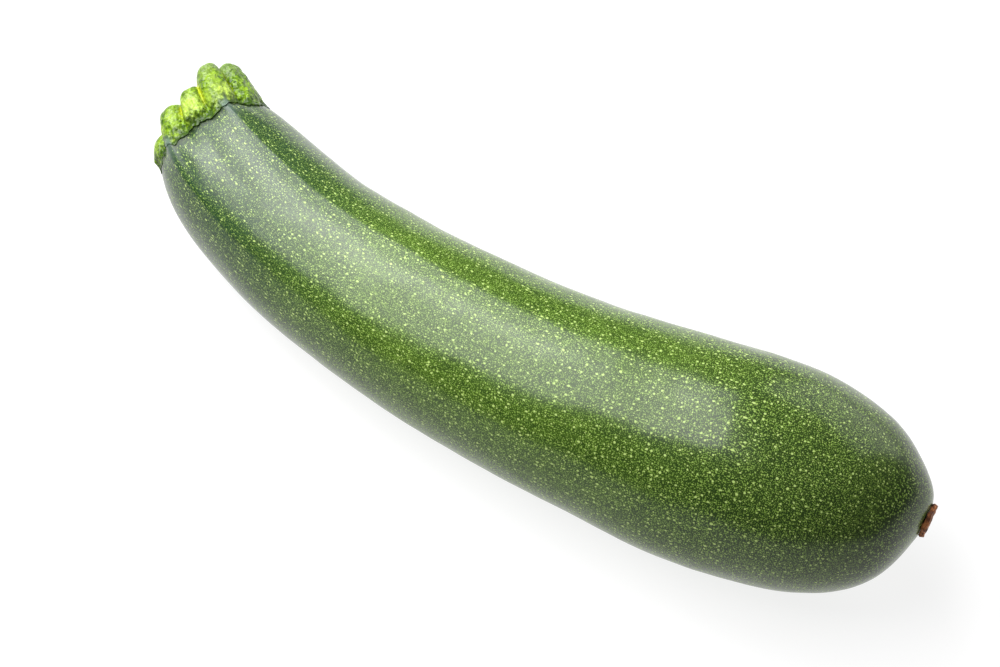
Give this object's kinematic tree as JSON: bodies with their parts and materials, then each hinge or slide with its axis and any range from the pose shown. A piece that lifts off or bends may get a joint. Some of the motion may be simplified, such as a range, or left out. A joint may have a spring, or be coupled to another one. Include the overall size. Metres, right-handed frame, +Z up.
{
  "type": "courgette (long zucchini)",
  "caption": "Long dark green courgette lying on its side, bent and club-shaped, with a lobed stub of stalk and a dry flower scar.",
  "frame": {"origin": "middle of the footprint of the whole vegetable, on the surface it lies on", "axes": "+X along its length from the stalk end to the flower scar, +Z up, and it bows towards -Y"},
  "size_m": [0.206, 0.0562, 0.0508],
  "materials": {
    "skin": "waxy dark green skin with fine pale yellow-green flecks",
    "stalk": "lime green stalk flesh, pitted, with a soft sheen",
    "scar": "dry reddish brown, cork-like"
  },
  "bodies": {
    "root": {"fruit": "skin", "stalk": "stalk", "blossom_scar": "scar"}
  },
  "joints": []
}
